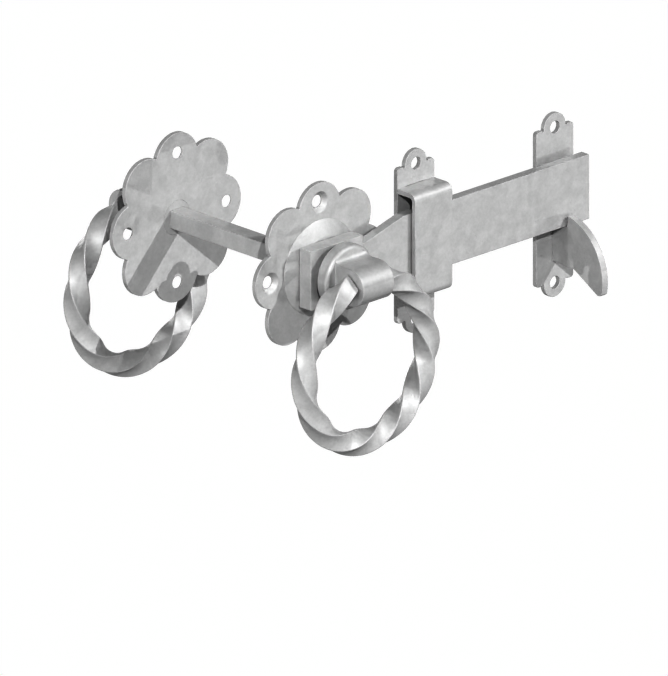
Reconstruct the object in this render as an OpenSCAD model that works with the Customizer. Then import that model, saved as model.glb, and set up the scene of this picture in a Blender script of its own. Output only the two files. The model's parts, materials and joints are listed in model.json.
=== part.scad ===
// Twisted ring gate latch: a ring handle on each side of a gate turns a square
// spindle, which lifts a latch bar out of a catch hook on the gate post.
// Millimetres. The origin is on the spindle's axis at the gate's inner face.
// +X runs along the latch bar, -Y is inward off the gate's inner face, +Z is up.

/* [Gate] */
// Thickness of the gate, which is the space between the two roses
gate_t = 76.5; // [50:0.5:90]

/* [Roses] */
// Thickness of every flat plate
plate_t = 2; // [1.5:0.25:3]
// Width of a rose across two opposite lobes
rose_d = 69; // [66:1:76]
// Radius of each rounded lobe of a rose
lobe_r = 11.3; // [10.5:0.1:12]
// Diameter of the circle through a rose's screw holes
rose_pcd = 53; // [51:0.5:55]
// Diameter of every screw hole
screw_d = 5; // [4:0.5:5.5]
// Diameter of the domed boss on a rose
boss_d = 39.2; // [36:0.5:42]
// Height of the domed boss above its rose
boss_h = 2.9; // [2:0.1:3.5]

/* [Spindle and latch bar] */
// Width of the square spindle
spindle_w = 7.2; // [6:0.1:8]
// Distance from the spindle's axis to the tip of the bar
bar_reach = 137.8; // [132:1:150]
// Height of the bar
bar_h = 26.4; // [24:0.2:28]
// Thickness of the bar
bar_t = 4.2; // [3:0.2:5]
// Width of the hub block that carries the bar
hub_w = 28; // [26:0.5:30]
// Height of the hub block
hub_h = 24.2; // [20:0.2:26]

/* [Ring handles] */
// Radius of a ring's centre line
ring_r = 32.8; // [30:0.2:36]
// Width of the square bar that the ring is twisted from
ring_bar_w = 8; // [6.5:0.1:8.5]
// Full turns of left-hand twist in one ring
ring_twists = 3; // [2:1:4]
// Radius of the barrel that the ring hangs in
barrel_r = 7.65; // [7.4:0.05:8.5]
// Length of that barrel
barrel_l = 16.7; // [14:0.1:18]
// Diameter of the round collar behind the barrel
collar_d = 26.2; // [24:0.2:28]

/* [Staple and catch] */
// Width of the staple's and the catch's back plates
back_w = 20; // [18:0.5:22]
// Distance between the two screw holes of a back plate
back_pitch = 63.5; // [60:0.5:68]
// Distance from the spindle's axis to the middle of the staple
staple_x = 51.8; // [50:0.2:60]
// Distance from the spindle's axis to the middle of the catch's plate
catch_x = 126.6; // [122:0.5:130]
// How far the bridge lets the bar rise before it stops it
bar_lift = 6; // [5.4:0.1:7]
// Thickness of the catch hook
hook_t = 3; // [2.5:0.1:4]

/* [Hidden] */
$fn = 64;

cut = 1;         // how far a cutting solid runs past the face it opens
slip = 0.05;     // gap round a part that turns or fits in another
face_gap = 0.2;  // gap between flat faces that pass each other
end_play = 0.3;  // room along the spindle and along each ring's barrel
bar_gap = 0.4;   // room in front of the bar, in the bridge and in the catch

// Roses
lobe_count = 8;
lobe_centre_r = rose_d / 2 - lobe_r;
rose_hole_count = 4;
csk_d = 8.6;
journal_r = 7;
boss_sphere_r = 40;

// Distances in front of the gate's inner face, all measured along -Y
boss_face = plate_t + boss_h;
hub_back = boss_face + face_gap;
hub_t = 6.4;
hub_front = hub_back + hub_t;
bar_back = hub_back + face_gap;
bar_front = bar_back + bar_t;

// Latch bar
neck_h = 15;
neck_x = hub_w / 2 + 3;
flare_x = 38;
tenon_l = 5;
tenon_h = 10;

// A knuckle is drawn with its barrel's axis on its own X axis and its back towards +Y
shoulder_l = 2.3;
shoulder_r = 9;
collar_t = 5.5;
collar_front = 7.8;
collar_back = collar_front + collar_t;
collar_round = 1.7;
lug_fillet = 2;
ring_bore_r = 3.5;
socket_end = 6.1;
front_barrel = hub_front + shoulder_l + collar_back;
rear_journal_l = boss_face + end_play;
rear_shoulder_l = 3;
rear_barrel = rear_journal_l + rear_shoulder_l + collar_back;

// Fixings of the two knuckles
screw_r = 2;
screw_hex = 2;
screw_hex_depth = 2.5;
fixing_recess = 0.5;
pin_r = 1.5;
fixing_y = collar_back - collar_t / 2;

// Rings: the centre line starts on the barrel's axis, just outside the barrel's ends
ring_end_x = barrel_l / 2 + end_play;
ring_drop = sqrt(ring_r * ring_r - ring_end_x * ring_end_x);
ring_steps = 96;
ring_phase = 50;
ring_corner_cut = 0.7;
pivot_r = ring_bore_r - slip;
pivot_l = 6.5;

// Staple
staple_z = -2.4;
tab_r = 5.8;
tab_notch_r = 0.5;
shoulder_corner_r = 1.5;
strap_t = 2;
strap_round = 3.2;
bridge_reach = bar_front + bar_gap + strap_t;
bridge_top = bar_h / 2 + bar_lift + strap_t;
bridge_low = -22.2;
back_tenon_w = 10;

// Catch: the points of the hook are its reach from the gate and its height
catch_z = -6.6;
rest_gap = 0.1;
notch_floor = -bar_h / 2 - rest_gap;
notch_reach = bar_front + bar_gap;
nose_tip = [notch_reach + 0.8, notch_floor + 4.6];
ramp_centre = [6.1, -31.7];
ramp_r = 23.6;
hook_toe = [[29.9, -35.6], [28.4, -36.9], [26.9, -37.1], [25.5, -36.3]];
hook_heel = [13.9, -29.6];
hook_root_z = -29.2;
hook_tenon_h = 6;

// Runs an outline drawn in X and Z from a distance in front of the gate towards the viewer
module outward(from) {
    translate([0, -from, 0])
        rotate([90, 0, 0])
            children();
}

// Runs an outline drawn in Y and Z along +X
module along_x(from) {
    translate([from, 0, 0])
        rotate([90, 0, 90])
            children();
}

// Turns a piece of the inner side round to the gate's outer side
module outer_side() {
    translate([0, gate_t, 0])
        rotate([0, 0, 180])
            children();
}

// A screw hole through a plate that lies from z = 0 up
module screw_hole() {
    translate([0, 0, -cut])
        cylinder(h = plate_t + 2 * cut, d = screw_d);
}

// The same hole with a countersink in the plate's upper face
module countersunk_hole() {
    depth = (csk_d - screw_d) / 2;
    screw_hole();
    translate([0, 0, plate_t - depth])
        cylinder(h = depth + cut, d1 = screw_d, d2 = csk_d + 2 * cut);
}

// ---- Roses ----

module rose_outline() {
    circle(r = lobe_centre_r);
    for (i = [0 : lobe_count - 1])
        rotate(i * 360 / lobe_count)
            translate([lobe_centre_r, 0])
                circle(r = lobe_r);
}

module rose() {
    outward(0)
        difference() {
            linear_extrude(plate_t)
                rose_outline();
            translate([0, 0, -cut])
                cylinder(h = plate_t + 2 * cut, r = journal_r + slip);
            for (i = [0 : rose_hole_count - 1])
                rotate(i * 360 / rose_hole_count)
                    translate([rose_pcd / 2, 0, 0])
                        countersunk_hole();
        }
}

// A low dome with a flat top, bored for the journal
module boss() {
    base_r = boss_d / 2;
    sphere_drop = sqrt(boss_sphere_r * boss_sphere_r - base_r * base_r);
    outward(plate_t)
        difference() {
            intersection() {
                translate([0, 0, -sphere_drop])
                    sphere(r = boss_sphere_r, $fn = 3 * $fn);
                cylinder(h = boss_h, r = base_r + cut);
            }
            translate([0, 0, -cut])
                cylinder(h = boss_h + 2 * cut, r = journal_r + slip);
        }
}

module front_rose() { color("silver") rose(); }

module front_boss() { color("gainsboro") boss(); }

module rear_rose() { color("silver") outer_side() rose(); }

module rear_boss() { color("gainsboro") outer_side() boss(); }

// ---- Spindle and latch bar ----

// A square bar along Y, its end faces at two distances in front of the gate
module square_bar(from, to, width) {
    outward(from)
        linear_extrude(to - from)
            square(width, center = true);
}

module spindle() {
    color("darkgray")
        difference() {
            square_bar(-gate_t - rear_barrel + socket_end, front_barrel - socket_end, spindle_w);
            cross_pin(pin_r, spindle_w);
        }
}

module latch_hub() {
    color("silver")
        difference() {
            union() {
                outward(hub_back)
                    linear_extrude(hub_t)
                        square([hub_w, hub_h], center = true);
                outward(0)
                    cylinder(h = hub_back, r = journal_r);
            }
            square_bar(-cut, hub_front + cut, spindle_w + 2 * slip);
            outward(hub_back - cut)
                translate([hub_w / 2 - tenon_l - slip, -tenon_h / 2 - slip, 0])
                    cube([tenon_l + cut, tenon_h + 2 * slip, bar_front + slip - hub_back + cut]);
        }
}

module bar_outline() {
    top = bar_h / 2;
    neck = neck_h / 2;
    polygon([
        [hub_w / 2, -neck], [neck_x, -neck], [flare_x, -top], [bar_reach, -top],
        [bar_reach, top], [flare_x, top], [neck_x, neck], [hub_w / 2, neck]
    ]);
    translate([hub_w / 2 - tenon_l, -tenon_h / 2])
        square([tenon_l + cut, tenon_h]);
}

module latch_bar() {
    color("lightgray")
        outward(bar_back)
            linear_extrude(bar_t)
                bar_outline();
}

// ---- Ring handles ----

// A disc from z = 0 up with its upper edge rounded
module round_edged_disc(r, h, edge) {
    rotate_extrude() {
        square([r - edge, h]);
        square([r, h - edge]);
        translate([r - edge, h - edge])
            circle(r = edge);
    }
}

// Side view of the lug: the barrel's round end, a straight run back to the collar and fillets
module lug_outline() {
    run = collar_front + cut;
    circle(r = barrel_r);
    translate([0, -barrel_r])
        square([run, 2 * barrel_r]);
    for (side = [-1, 1])
        difference() {
            translate([collar_front - lug_fillet, side * (barrel_r + lug_fillet / 2) - lug_fillet / 2])
                square([lug_fillet, lug_fillet]);
            translate([collar_front - lug_fillet, side * (barrel_r + lug_fillet)])
                circle(r = lug_fillet);
        }
}

// Lug, collar and shoulder of a ring handle, with the spindle's socket and the ring's bore.
// journal is the length of the journal beyond the shoulder.
module knuckle(shoulder, journal) {
    back = collar_back + shoulder + journal;
    difference() {
        union() {
            along_x(-barrel_l / 2)
                linear_extrude(barrel_l)
                    lug_outline();
            outward(-collar_back)
                round_edged_disc(collar_d / 2, collar_t, collar_round);
            outward(-collar_back - shoulder)
                cylinder(h = shoulder + cut, r = shoulder_r);
            outward(-back)
                cylinder(h = journal + cut, r = journal_r);
        }
        square_bar(-back - cut, -socket_end + slip, spindle_w + 2 * slip);
        along_x(-barrel_l / 2 - cut)
            cylinder(h = barrel_l + 2 * cut, r = ring_bore_r);
    }
}

module front_knuckle() {
    color("silver")
        translate([0, -front_barrel, 0])
            difference() {
                knuckle(shoulder_l, 0);
                translate([0, fixing_y, -collar_d / 2 - cut])
                    cylinder(h = collar_d / 2, r = screw_r + slip);
            }
}

module front_grub_screw() {
    length = (collar_d - spindle_w) / 2 - fixing_recess;
    color("dimgray")
        translate([0, -front_barrel + fixing_y, -spindle_w / 2 - length])
            difference() {
                cylinder(h = length, r = screw_r);
                translate([0, 0, -cut])
                    cylinder(h = screw_hex_depth + cut, d = screw_hex / cos(30), $fn = 6);
            }
}

// The pin through the rear knuckle's collar and the spindle, or the hole for it
module cross_pin(r, half_l) {
    translate([0, gate_t + rear_barrel - fixing_y, 0])
        along_x(-half_l)
            cylinder(h = 2 * half_l, r = r);
}

module rear_knuckle() {
    color("silver")
        difference() {
            outer_side()
                translate([0, -rear_barrel, 0])
                    knuckle(rear_shoulder_l, rear_journal_l);
            cross_pin(pin_r, collar_d);
        }
}

module rear_cross_pin() {
    color("dimgray")
        cross_pin(pin_r - slip, collar_d / 2 - fixing_recess);
}

// Corner points of the ring's square bar with its corners cut off, as [outward, radial]
function bar_section() =
    let (h = ring_bar_w / 2, c = h - ring_corner_cut)
    [[h, c], [c, h], [-c, h], [-h, c], [-h, -c], [-c, -h], [c, -h], [h, -c]];

// A point of the section carried to one step of the ring
function ring_point(step, p) =
    let (
        turn = 360 * step / ring_steps,
        twist = 45 + ring_phase - ring_twists * turn,
        out = p[0] * cos(twist) - p[1] * sin(twist),
        r = ring_r + p[0] * sin(twist) + p[1] * cos(twist)
    )
    [r * cos(turn - 90), -out, r * sin(turn - 90) - ring_drop];

// The closed loop of twisted bar, hanging from the barrel's axis
module twisted_loop() {
    section = bar_section();
    sides = len(section);
    points = [for (s = [0 : ring_steps - 1], p = section) ring_point(s, p)];
    faces = [
        for (s = [0 : ring_steps - 1], k = [0 : sides - 1])
            let (a = s * sides, b = (s + 1) % ring_steps * sides, n = (k + 1) % sides)
            each [[a + k, b + n, a + n], [a + k, b + k, b + n]]
    ];
    polyhedron(points, faces);
}

// One ring: the loop with the barrel's width cut out and a round pivot on each end
module ring() {
    clear_of_bar = 2 * ring_bar_w;
    difference() {
        twisted_loop();
        cube([2 * ring_end_x, clear_of_bar, clear_of_bar], center = true);
    }
    for (side = [0, 180])
        rotate([0, 0, side])
            along_x(ring_end_x - pivot_l)
                cylinder(h = pivot_l + cut, r = pivot_r);
}

module front_ring() {
    color("gainsboro")
        translate([0, -front_barrel, 0])
            ring();
}

module rear_ring() {
    color("gainsboro")
        translate([0, gate_t + rear_barrel, 0])
            ring();
}

// ---- Staple and catch ----

// A back plate: square shoulders with a round screw tab at the top and the bottom
module back_outline() {
    w = back_w / 2;
    h = back_pitch / 2;
    corner = shoulder_corner_r;
    difference() {
        union() {
            square([back_w - 2 * corner, back_pitch], center = true);
            square([back_w, back_pitch - 2 * corner], center = true);
            for (x = [-1, 1], z = [-1, 1])
                translate([x * (w - corner), z * (h - corner)])
                    circle(r = corner);
        }
        for (x = [-1, 1], z = [-1, 1])
            translate([x * (tab_r + tab_notch_r), z * h])
                circle(r = tab_notch_r);
    }
    for (z = [-1, 1])
        translate([0, z * h])
            circle(r = tab_r);
}

module back_plate(x, z) {
    outward(0)
        translate([x, z, 0])
            difference() {
                linear_extrude(plate_t)
                    back_outline();
                for (side = [-1, 1])
                    translate([0, side * back_pitch / 2, 0])
                        screw_hole();
            }
}

// A block in side view that reaches out from the gate, its two outer corners rounded
module rounded_block(reach, low, high, r) {
    translate([-reach + r, low])
        square([reach - r, high - low]);
    translate([-reach, low + r])
        square([r, high - low - 2 * r]);
    for (z = [low + r, high - r])
        translate([-reach + r, z])
            circle(r = r);
}

// The tenons that hold the bridge in its plate, at each leg's height
module bridge_tenons(grow) {
    for (z = [bridge_low + strap_t / 2, bridge_top - strap_t / 2])
        translate([staple_x, -plate_t / 2, z])
            cube([back_tenon_w + grow, plate_t + grow, strap_t + grow], center = true);
}

module staple_plate() {
    color("silver")
        difference() {
            back_plate(staple_x, staple_z);
            bridge_tenons(2 * slip);
        }
}

module staple_bridge() {
    color("lightgray") {
        difference() {
            along_x(staple_x - back_w / 2)
                linear_extrude(back_w)
                    difference() {
                        rounded_block(bridge_reach, bridge_low, bridge_top, strap_round);
                        rounded_block(bridge_reach - strap_t, bridge_low + strap_t,
                                      bridge_top - strap_t, strap_round - strap_t);
                    }
            translate([staple_x - back_w / 2 - cut, -plate_t, bridge_low - cut])
                cube([back_w + 2 * cut, plate_t + cut, bridge_top - bridge_low + 2 * cut]);
        }
        bridge_tenons(0);
    }
}

// Side view of the hook: root, notch for the bar, nose, round ramp and toe
module hook_outline() {
    root = [[plate_t, hook_root_z], [plate_t, notch_floor], [notch_reach, notch_floor]];
    ramp_corner = [hook_toe[0][0], nose_tip[1]];
    outline = concat(root, [nose_tip, ramp_corner], hook_toe, [hook_heel]);
    intersection() {
        translate([-ramp_centre[0], ramp_centre[1]])
            circle(r = ramp_r, $fn = 2 * $fn);
        polygon([for (p = outline) [-p[0], p[1]]]);
    }
}

module hook_tenon(grow) {
    translate([catch_x, -plate_t / 2, (hook_root_z + notch_floor) / 2])
        cube([hook_t + grow, plate_t + grow, hook_tenon_h + grow], center = true);
}

module catch_plate() {
    color("silver")
        difference() {
            back_plate(catch_x, catch_z);
            hook_tenon(2 * slip);
        }
}

module catch_hook() {
    color("darkgray") {
        along_x(catch_x - hook_t / 2)
            linear_extrude(hook_t)
                hook_outline();
        hook_tenon(0);
    }
}

front_rose();
front_boss();
rear_rose();
rear_boss();
spindle();
latch_hub();
latch_bar();
front_knuckle();
front_grub_screw();
front_ring();
rear_knuckle();
rear_cross_pin();
rear_ring();
staple_plate();
staple_bridge();
catch_plate();
catch_hook();
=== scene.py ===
"""Looks for the twisted ring gate latch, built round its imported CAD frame.

Everything is in metres, in the frame's own axes: +X along the latch bar, -Y inward off the gate, +Z up.
"""

import json
import math

import bmesh
import bpy
from mathutils import Matrix, Vector

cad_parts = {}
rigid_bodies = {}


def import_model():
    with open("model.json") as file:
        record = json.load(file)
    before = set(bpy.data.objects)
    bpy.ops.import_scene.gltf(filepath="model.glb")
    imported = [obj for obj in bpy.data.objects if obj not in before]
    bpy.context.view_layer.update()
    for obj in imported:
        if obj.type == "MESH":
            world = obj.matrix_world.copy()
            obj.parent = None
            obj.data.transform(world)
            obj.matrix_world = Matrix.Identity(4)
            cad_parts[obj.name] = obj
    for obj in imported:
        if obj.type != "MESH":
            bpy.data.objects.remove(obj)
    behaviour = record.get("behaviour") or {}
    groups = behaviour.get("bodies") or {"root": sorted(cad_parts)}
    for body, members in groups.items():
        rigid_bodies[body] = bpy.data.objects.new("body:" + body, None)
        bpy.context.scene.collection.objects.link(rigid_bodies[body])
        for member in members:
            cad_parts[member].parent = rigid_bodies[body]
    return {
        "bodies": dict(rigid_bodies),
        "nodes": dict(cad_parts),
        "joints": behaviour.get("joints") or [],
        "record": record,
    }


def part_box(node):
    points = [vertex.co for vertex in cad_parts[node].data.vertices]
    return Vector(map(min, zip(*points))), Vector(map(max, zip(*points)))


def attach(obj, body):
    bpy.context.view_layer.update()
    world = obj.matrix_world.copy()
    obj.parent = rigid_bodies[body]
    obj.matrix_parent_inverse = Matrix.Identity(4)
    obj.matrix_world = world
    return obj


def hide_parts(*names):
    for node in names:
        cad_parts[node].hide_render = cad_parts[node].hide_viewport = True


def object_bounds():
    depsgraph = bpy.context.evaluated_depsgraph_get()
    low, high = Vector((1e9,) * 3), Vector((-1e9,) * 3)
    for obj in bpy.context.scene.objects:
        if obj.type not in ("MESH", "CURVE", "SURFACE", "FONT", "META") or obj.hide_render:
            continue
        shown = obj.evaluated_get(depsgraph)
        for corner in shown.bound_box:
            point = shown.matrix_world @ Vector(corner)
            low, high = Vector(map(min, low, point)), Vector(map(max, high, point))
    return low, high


# Camera: its direction from the latch, the height of the picture, and where the picture's middle lies from
# the front rose's face, along the picture's right and down
VIEW_AZIMUTH = math.radians(-44.4)
VIEW_ELEVATION = math.radians(19.9)
VIEW_HEIGHT = 0.26
VIEW_RIGHT = 0.0055
VIEW_DOWN = 0.0273
VIEW_DISTANCE = 2.0

# The picture's tones follow the light itself, without the display's usual lift of the dark ones
VIEW_GAMMA = 1 / 2.2

# Lights: the direction towards each, and its strength
LIGHTS = {
    "key": {"towards": (0.66, -1.0, 0.70), "strength": 2.35},
    "fill": {"towards": (-0.84, -1.0, 0.72), "strength": 3.45},
    "rim": {"towards": (-1.0, 0.0, 0.14), "strength": 0.98},
    "back": {"towards": (0.3, 1.0, 0.0), "strength": 1.0},
}
SKY_ABOVE = 0.42
SKY_BELOW = 0.03
HORIZON_BLUR = 0.02

# Zinc: how far its tone strays either way as a share of its grey, how far its roughness does, and what share
# each layer has in its mottling
TONE_SPREAD = 0.08
ROUGHNESS_SPREAD = 0.05
FIGURE_SHARES = {"cloud": 0.3, "streak": 0.2, "crystals": 0.15, "fleck": 0.35}

# Zinc: how strong its mirror coat is, and an index that makes the coat as bright from nearly every side
COAT_WEIGHT = 0.35
COAT_IOR = 4

# Floor: how far it lies below the latch, and its size
FLOOR_DROP = 0.5
FLOOR_SIZE = 30.0

# Rings: how many times the bar's section turns on its way round, how far it is turned at the bottom, and
# the bar's width as a share of the ring's depth, which its rounded corners just fill
TWISTS = 3
TWIST_START = math.radians(95)
BAR_SHARE = 0.74

# Rings: how finely they are made
CORNER_POINTS = 5
FACE_POINTS = 4
RING_STEPS = 400
PIVOT_POINTS = 48

# How far a ring's pivots run into its bar, so that the two have no gap between them
PIVOT_OVERLAP = 0.001

# Points closer together than this count as one
SAME_PLACE = 1e-6

# Softened edges: their width by material slot, the least angle of an edge that is softened, and the greatest
# of one that is dissolved as flat
EDGE_WIDTH = {
    "galvanised_plate": 0.00022,
    "galvanised_casting": 0.0004,
    "galvanised_ring": 0.0003,
    "plain_steel": 0.0002,
}
EDGE_ANGLE = math.radians(32)
FLAT_ANGLE = math.radians(0.05)
EDGE_SEGMENTS = 3
# Edges this near to the spindle's axis lie in a bore and stay sharp, so that the piece inside it closes it
BORE_RADIUS = 0.0075

# Nodes that lie along the spindle's axis themselves, with all their edges softened
SOLID_ON_AXIS = ("spindle",)


# ---- Materials ----


class Nodes:
    """Short calls for building one material's node tree."""

    def __init__(self, material):
        self.tree = material.node_tree
        self.shader = self.tree.nodes["Principled BSDF"]
        self.place = self.add("ShaderNodeTexCoord").outputs["Object"]

    def add(self, kind, **settings):
        node = self.tree.nodes.new(kind)
        for name, value in settings.items():
            setattr(node, name, value)
        return node

    def link(self, source, target):
        self.tree.links.new(source, target)

    def noise(self, size, detail=3.0, roughness=0.5, distortion=0.0, stretch=None, tilt=0.0):
        """Noise between 0 and 1 with features of about that size in metres, drawn out along a tilted axis."""
        node = self.add("ShaderNodeTexNoise")
        node.inputs["Scale"].default_value = 1 / size
        node.inputs["Detail"].default_value = detail
        node.inputs["Roughness"].default_value = roughness
        node.inputs["Distortion"].default_value = distortion
        place = self.place
        if stretch:
            mapping = self.add("ShaderNodeMapping", vector_type="TEXTURE")
            mapping.inputs["Scale"].default_value = stretch
            mapping.inputs["Rotation"].default_value = (tilt, tilt, 0)
            self.link(place, mapping.inputs["Vector"])
            place = mapping.outputs["Vector"]
        self.link(place, node.inputs["Vector"])
        return node.outputs["Fac"]

    def crystals(self, size):
        """A random grey for each zinc crystal of about that size in metres."""
        node = self.add("ShaderNodeTexVoronoi", feature="SMOOTH_F1")
        node.inputs["Scale"].default_value = 1 / size
        node.inputs["Smoothness"].default_value = 0.35
        self.link(self.place, node.inputs["Vector"])
        grey = self.add("ShaderNodeRGBToBW")
        self.link(node.outputs["Color"], grey.inputs["Color"])
        return grey.outputs["Val"]

    def span(self, value, low, high, to_low, to_high):
        """value taken from low..high to to_low..to_high, and held there."""
        node = self.add("ShaderNodeMapRange")
        for name, number in zip(("From Min", "From Max", "To Min", "To Max"), (low, high, to_low, to_high)):
            node.inputs[name].default_value = number
        self.link(value, node.inputs["Value"])
        return node.outputs["Result"]

    def math(self, operation, a, b):
        node = self.add("ShaderNodeMath", operation=operation)
        for socket, value in zip(node.inputs, (a, b)):
            if isinstance(value, (int, float)):
                socket.default_value = value
            else:
                self.link(value, socket)
        return node.outputs["Value"]

    def tint(self, value, grey):
        """A grey colour times value."""
        node = self.add("ShaderNodeCombineColor")
        shade = self.math("MULTIPLY", value, grey)
        for channel in node.inputs:
            self.link(shade, channel)
        return node.outputs["Color"]

    def bump(self, height, distance, strength=1.0, over=None):
        node = self.add("ShaderNodeBump")
        node.inputs["Distance"].default_value = distance
        node.inputs["Strength"].default_value = strength
        self.link(height, node.inputs["Height"])
        if over is not None:
            self.link(over, node.inputs["Normal"])
        return node.outputs["Normal"]


def new_material(name):
    material = bpy.data.materials.new(name)
    material.use_nodes = True
    return material


def zinc_figure(nodes, cloud, fleck):
    """The mottling of the zinc between 0 and 1: clouds, streaks, crystals and flecks."""
    streak = nodes.noise(size=0.004, detail=3.0, distortion=0.5, stretch=(1.0, 1.0, 3.5), tilt=0.9)
    layers = {"cloud": cloud, "streak": streak, "crystals": nodes.crystals(0.005), "fleck": fleck}
    figure = 0.0
    for name, layer in layers.items():
        figure = nodes.math("ADD", nodes.math("MULTIPLY", layer, FIGURE_SHARES[name]), figure)
    return figure


def zinc_skin(nodes, relief):
    """The surface's normal: gentle waves and a few shallow dents, both about relief high."""
    waves = nodes.noise(size=0.004, detail=3.0, roughness=0.6)
    dents = nodes.span(nodes.noise(size=0.006, detail=1.0, distortion=1.5), 0.68, 0.78, 0.0, 1.0)
    return nodes.bump(dents, relief, strength=0.5, over=nodes.bump(waves, relief))


def zinc(name, grey, metallic, roughness, relief):
    """Hot-dip galvanised steel: mottled and slightly dented rough metal.

    A thin mirror coat over it gives faint, sharp reflections, as on smooth zinc.
    """
    material = new_material(name)
    nodes = Nodes(material)
    shader = nodes.shader

    cloud = nodes.noise(size=0.007, detail=4.0, roughness=0.6, distortion=0.8)
    fleck = nodes.noise(size=0.0011, detail=3.0, roughness=0.65)
    figure = zinc_figure(nodes, cloud, fleck)
    tone = nodes.span(figure, 0.36, 0.64, 1 - TONE_SPREAD, 1 + TONE_SPREAD)
    nodes.link(nodes.tint(tone, grey), shader.inputs["Base Color"])

    uneven = nodes.math("ADD", cloud, fleck)
    rough = nodes.span(uneven, 0.7, 1.3, roughness - ROUGHNESS_SPREAD, roughness + ROUGHNESS_SPREAD)
    nodes.link(rough, shader.inputs["Roughness"])
    nodes.link(zinc_skin(nodes, relief), shader.inputs["Normal"])

    shader.inputs["Metallic"].default_value = metallic
    shader.inputs["Specular IOR Level"].default_value = 0
    shader.inputs["Coat Weight"].default_value = COAT_WEIGHT
    shader.inputs["Coat IOR"].default_value = COAT_IOR
    shader.inputs["Coat Roughness"].default_value = 0
    return material


def make_materials():
    """One material for each slot of the record."""
    return {
        "galvanised_plate": zinc("galvanised_plate", 0.49, metallic=0.39, roughness=0.6, relief=0.0001),
        "galvanised_casting": zinc("galvanised_casting", 0.46, metallic=0.35, roughness=0.57, relief=0.0001),
        "galvanised_ring": zinc("galvanised_ring", 0.49, metallic=0.37, roughness=0.58, relief=0.0001),
        "plain_steel": zinc("plain_steel", 0.24, metallic=0.8, roughness=0.4, relief=0.00005),
    }


# ---- CAD nodes ----


class EdgeMarker:
    """Builds a geometry node group that marks a mesh's edges to soften, and its edges in bores to keep sharp."""

    def __init__(self):
        self.group = bpy.data.node_groups.new("mark_edges", "GeometryNodeTree")
        for way in ("INPUT", "OUTPUT"):
            self.group.interface.new_socket("Geometry", in_out=way, socket_type="NodeSocketGeometry")
        self.geometry = self.add("NodeGroupInput").outputs["Geometry"]
        turned = self.above(self.add("GeometryNodeInputMeshEdgeAngle").outputs["Unsigned Angle"], EDGE_ANGLE)
        outside = self.above(self.distance_from_axis(), BORE_RADIUS)
        self.store("bevel_weight_edge", "FLOAT", self.logic("AND", turned, outside))
        self.store("sharp_edge", "BOOLEAN", self.logic("NIMPLY", turned, outside))
        self.link(self.geometry, self.add("NodeGroupOutput").inputs["Geometry"])

    def add(self, kind):
        return self.group.nodes.new(kind)

    def link(self, source, target):
        self.group.links.new(source, target)

    def distance_from_axis(self):
        """How far a point is from the spindle's axis, which is the frame's own Y axis."""
        across = self.add("ShaderNodeVectorMath")
        across.operation = "MULTIPLY"
        across.inputs[1].default_value = (1, 0, 1)
        self.link(self.add("GeometryNodeInputPosition").outputs["Position"], across.inputs[0])
        length = self.add("ShaderNodeVectorMath")
        length.operation = "LENGTH"
        self.link(across.outputs["Vector"], length.inputs[0])
        return length.outputs["Value"]

    def above(self, value, limit):
        test = self.add("FunctionNodeCompare")
        test.inputs["B"].default_value = limit
        self.link(value, test.inputs["A"])
        return test.outputs["Result"]

    def logic(self, operation, a, b):
        node = self.add("FunctionNodeBooleanMath")
        node.operation = operation
        self.link(a, node.inputs[0])
        self.link(b, node.inputs[1])
        return node.outputs["Boolean"]

    def store(self, name, kind, value):
        node = self.add("GeometryNodeStoreNamedAttribute")
        node.data_type = kind
        node.domain = "EDGE"
        node.inputs["Name"].default_value = name
        self.link(self.geometry, node.inputs["Geometry"])
        self.link(value, node.inputs["Value"])
        self.geometry = node.outputs["Geometry"]


def soften_edges(piece, width, marks=None):
    """Rounds the piece's sharp edges a little, to catch the light; with marks, only the edges they mark."""
    weld = piece.modifiers.new("weld", "WELD")
    weld.merge_threshold = SAME_PLACE
    flats = piece.modifiers.new("flats", "DECIMATE")
    flats.decimate_type = "DISSOLVE"
    flats.angle_limit = FLAT_ANGLE
    if marks:
        marking = piece.modifiers.new("marks", "NODES")
        marking.node_group = marks
    bevel = piece.modifiers.new("edges", "BEVEL")
    bevel.width = width
    bevel.segments = EDGE_SEGMENTS
    bevel.limit_method = "WEIGHT" if marks else "ANGLE"
    bevel.angle_limit = EDGE_ANGLE
    bevel.use_clamp_overlap = False
    shade = piece.modifiers.new("shade", "WEIGHTED_NORMAL")
    shade.weight = 80
    shade.keep_sharp = True


def finish_cad_nodes(frame, materials):
    """Gives every CAD node its slot's material and soft edges."""
    marks = EdgeMarker().group
    for part in frame["record"]["subparts"]:
        node = frame["nodes"][part["node"]]
        slot = part["material_slot"]
        node.data.materials.clear()
        node.data.materials.append(materials[slot])
        soften_edges(node, EDGE_WIDTH[slot], None if part["node"] in SOLID_ON_AXIS else marks)


# ---- Rings ----


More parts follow.
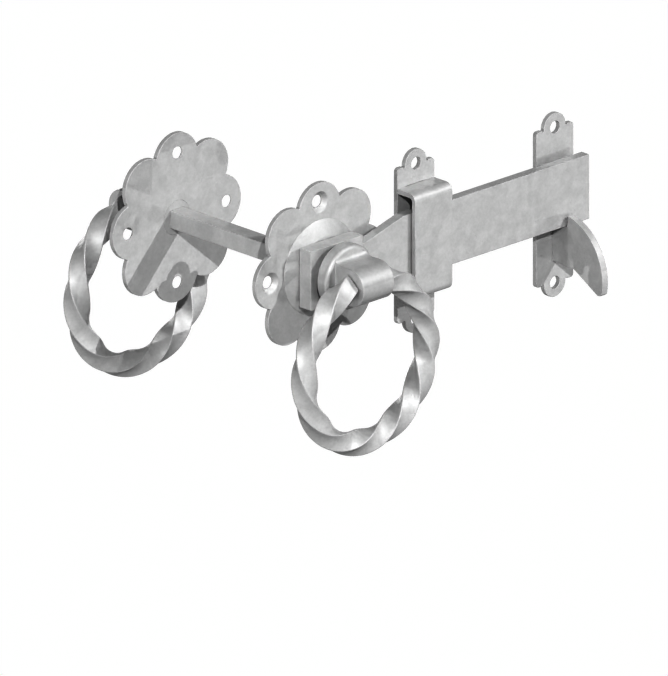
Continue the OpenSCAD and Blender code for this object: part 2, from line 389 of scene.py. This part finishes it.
class RingSize:
    """A ring's measures, from its CAD solid. It hangs from the barrel's axis, y = barrel_y and z = 0."""

    def __init__(self, frame, node, barrel_y):
        low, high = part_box(node)
        points = [v.co for v in frame["nodes"][node].data.vertices]
        self.barrel_y = barrel_y
        self.measure_ends([p for p in points if p.z > low.z / 2])
        lowest = [p.z for p in points if abs(p.x) < SAME_PLACE and p.z < low.z / 2]
        depth = -sum(lowest) / len(lowest)
        # The centre line runs through both ends on the barrel's axis and the point that depth below it
        self.radius = (depth**2 + self.end_x**2) / (2 * depth)
        self.drop = depth - self.radius
        # The section's corners reach half the ring's depth from the centre line
        reach = (high.y - low.y) / 2
        self.half_bar = BAR_SHARE * reach
        self.corner = (self.half_bar * math.sqrt(2) - reach) / (math.sqrt(2) - 1)

    def measure_ends(self, points):
        """Finds the pivots' inner ends, their radius and the bar's own ends among the upper points."""
        self.pivot_x = min(abs(p.x) for p in points)
        tips = [p for p in points if abs(p.x) < self.pivot_x + SAME_PLACE]
        self.pivot_radius = max(self.off_axis(p) for p in tips)
        bar = [p for p in points if self.off_axis(p) > self.pivot_radius + SAME_PLACE]
        self.end_x = min(abs(p.x) for p in bar)

    def off_axis(self, point):
        return math.hypot(point.y - self.barrel_y, point.z)


def bar_section(half, corner):
    """Points round the bar's square section with rounded corners, as (outward, radial) pairs."""
    flat = half - corner
    points = []
    for quarter in range(4):
        turned = Matrix.Rotation(quarter * math.pi / 2, 2)
        for i in range(CORNER_POINTS):
            angle = math.pi / 2 * i / (CORNER_POINTS - 1)
            points.append(turned @ Vector((flat + corner * math.cos(angle), flat + corner * math.sin(angle))))
        for i in range(1, FACE_POINTS):
            points.append(turned @ Vector((flat - 2 * flat * i / FACE_POINTS, half)))
    return points


def ring_point(size, turn, point):
    """A point of the section carried round to turn, with the bar's twist there."""
    twist = TWIST_START - TWISTS * turn
    out = point.x * math.cos(twist) - point.y * math.sin(twist)
    reach = size.radius + point.x * math.sin(twist) + point.y * math.cos(twist)
    return Vector((reach * math.sin(turn), size.barrel_y - out, -reach * math.cos(turn) - size.drop))


def twisted_bar(mesh, size):
    """The open loop of twisted bar, from just past one end of the barrel round to the other."""
    section = bar_section(size.half_bar, size.corner)
    sides = len(section)
    half_gap = math.asin(size.end_x / size.radius) / 2
    start, sweep = math.pi + half_gap, 2 * math.pi - 2 * half_gap
    rows = []
    for step in range(RING_STEPS + 1):
        turn = start + sweep * step / RING_STEPS
        rows.append([mesh.verts.new(ring_point(size, turn, p)) for p in section])
    for row, following in zip(rows, rows[1:]):
        for k in range(sides):
            n = (k + 1) % sides
            mesh.faces.new((row[k], following[k], following[n], row[n]))


def cut_end(mesh, size, side):
    """Cuts the loop off square to the barrel at its end, and closes it."""
    upper = [f for f in mesh.faces if f.calc_center_median().z > -size.drop]
    near = [f for f in upper if f.calc_center_median().x * side > 0]
    edges = {e for f in near for e in f.edges}
    verts = {v for f in near for v in f.verts}
    plane = Vector((side * size.end_x, 0, 0))
    cut = bmesh.ops.bisect_plane(mesh, geom=[*verts, *edges, *near], dist=SAME_PLACE / 10, plane_co=plane,
                                 plane_no=Vector((side, 0, 0)), clear_inner=True)
    loop = [g for g in cut["geom_cut"] if isinstance(g, bmesh.types.BMEdge)]
    bmesh.ops.contextual_create(mesh, geom=loop)


def add_pivot(mesh, size, side):
    """The round pivot on one end of the loop, which turns in the barrel's bore."""
    outer = size.end_x + PIVOT_OVERLAP
    middle = side * (outer + size.pivot_x) / 2
    place = Matrix.Translation((middle, size.barrel_y, 0)) @ Matrix.Rotation(math.pi / 2, 4, "Y")
    bmesh.ops.create_cone(mesh, cap_ends=True, segments=PIVOT_POINTS, radius1=size.pivot_radius,
                          radius2=size.pivot_radius, depth=outer - size.pivot_x, matrix=place)


def make_ring(frame, materials, body):
    """A ring of twisted square bar that stands for the CAD's coarser one."""
    joint = next(j for j in frame["joints"] if j["name"] == body + "_swing")
    size = RingSize(frame, body, barrel_y=joint["pos_m"][1])
    mesh = bmesh.new()
    twisted_bar(mesh, size)
    for side in (-1, 1):
        cut_end(mesh, size, side)
        add_pivot(mesh, size, side)
    data = bpy.data.meshes.new(body + "_bar")
    bmesh.ops.recalc_face_normals(mesh, faces=mesh.faces[:])
    mesh.to_mesh(data)
    mesh.free()
    data.shade_smooth()
    ring = bpy.data.objects.new(body + "_bar", data)
    bpy.context.scene.collection.objects.link(ring)
    data.materials.append(materials["galvanised_ring"])
    soften_edges(ring, EDGE_WIDTH["galvanised_ring"])
    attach(ring, body)
    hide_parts(body)


# ---- Camera, light and floor ----


def view_axes():
    """The camera's right, up and back directions."""
    a, e = VIEW_AZIMUTH, VIEW_ELEVATION
    back = Vector((math.sin(a) * math.cos(e), -math.cos(a) * math.cos(e), math.sin(e)))
    right = Vector((math.cos(a), math.sin(a), 0))
    return right, back.cross(right), back


def make_camera():
    right, up, back = view_axes()
    low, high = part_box("front_rose")
    rose_face = Vector(((low.x + high.x) / 2, low.y, (low.z + high.z) / 2))
    aim = rose_face + right * VIEW_RIGHT - up * VIEW_DOWN
    data = bpy.data.cameras.new("camera")
    data.type = "ORTHO"
    data.ortho_scale = VIEW_HEIGHT
    camera = bpy.data.objects.new("camera", data)
    camera.location = aim + back * VIEW_DISTANCE
    camera.rotation_mode = "QUATERNION"
    camera.rotation_quaternion = (-back).to_track_quat("-Z", "Y")
    bpy.context.scene.collection.objects.link(camera)
    bpy.context.scene.camera = camera


def make_lights():
    for name, light in LIGHTS.items():
        data = bpy.data.lights.new(name, "SUN")
        data.energy = light["strength"]
        data.angle = 0
        sun = bpy.data.objects.new(name, data)
        sun.rotation_mode = "QUATERNION"
        sun.rotation_quaternion = Vector(light["towards"]).to_track_quat("Z", "Y")
        bpy.context.scene.collection.objects.link(sun)


def make_sky():
    """An even sky, dimmer below the horizon than above it."""
    world = bpy.data.worlds.new("sky")
    world.use_nodes = True
    tree = world.node_tree
    background = tree.nodes["Background"]
    background.inputs["Color"].default_value = (1, 1, 1, 1)
    direction = tree.nodes.new("ShaderNodeTexCoord")
    split = tree.nodes.new("ShaderNodeSeparateXYZ")
    strength = tree.nodes.new("ShaderNodeMapRange")
    strength.inputs["From Min"].default_value = -HORIZON_BLUR
    strength.inputs["From Max"].default_value = HORIZON_BLUR
    strength.inputs["To Min"].default_value = SKY_BELOW
    strength.inputs["To Max"].default_value = SKY_ABOVE
    tree.links.new(direction.outputs["Generated"], split.inputs["Vector"])
    tree.links.new(split.outputs["Z"], strength.inputs["Value"])
    tree.links.new(strength.outputs["Result"], background.inputs["Strength"])
    bpy.context.scene.world = world


def make_floor(low):
    """A plain white floor, well below the latch. It glows evenly, so no shadow shows on it."""
    material = new_material("floor")
    shader = material.node_tree.nodes["Principled BSDF"]
    shader.inputs["Base Color"].default_value = (0, 0, 0, 1)
    shader.inputs["Specular IOR Level"].default_value = 0
    shader.inputs["Emission Color"].default_value = (1, 1, 1, 1)
    shader.inputs["Emission Strength"].default_value = 1
    half = FLOOR_SIZE / 2
    data = bpy.data.meshes.new("floor")
    corners = [(-half, -half, 0), (half, -half, 0), (half, half, 0), (-half, half, 0)]
    data.from_pydata(corners, [], [(0, 1, 2, 3)])
    data.materials.append(material)
    floor = bpy.data.objects.new("floor", data)
    floor.location.z = low.z - FLOOR_DROP
    floor.visible_diffuse = False
    floor.visible_shadow = False
    bpy.context.scene.collection.objects.link(floor)


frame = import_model()
cad_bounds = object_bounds()

make_camera()
make_lights()
make_sky()
make_floor(cad_bounds[0])
materials = make_materials()
finish_cad_nodes(frame, materials)
for ring in ("front_ring", "rear_ring"):
    make_ring(frame, materials, ring)
bpy.context.scene.view_settings.view_transform = "Standard"
bpy.context.scene.view_settings.gamma = VIEW_GAMMA
